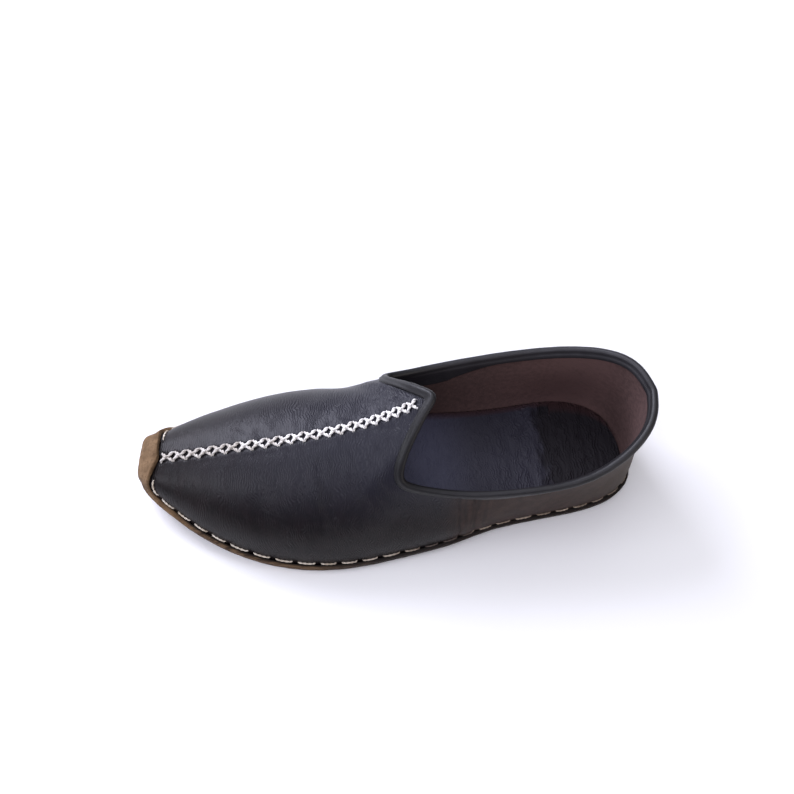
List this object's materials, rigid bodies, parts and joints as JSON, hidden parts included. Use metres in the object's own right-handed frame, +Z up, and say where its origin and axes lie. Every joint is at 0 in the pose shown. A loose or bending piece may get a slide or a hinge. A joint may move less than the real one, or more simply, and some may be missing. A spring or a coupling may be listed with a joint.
{
  "type": "slip-on shoe",
  "caption": "Left slip-on shoe in black leather with a pointed throat, a rolled collar binding and a thin leather sole folded up over the blunt toe as a beak.",
  "frame": {"origin": "on the floor under the middle of the shoe's bounding box", "axes": "+X from heel to toe, +Y to the wearer's left, which is the outer side of this left shoe, +Z up"},
  "size_m": [0.2746, 0.1046, 0.0837],
  "materials": {
    "sole_leather": "matt tan, rough at the toe, stained dark towards the heel",
    "insole_leather": "satin black, wrinkled",
    "upper_leather": "semi-gloss black with a fine wrinkled grain",
    "binding_leather": "semi-gloss black"
  },
  "bodies": {
    "root": {"outsole": "sole_leather", "insole": "insole_leather", "upper": "upper_leather", "collar_binding": "binding_leather"}
  },
  "joints": []
}
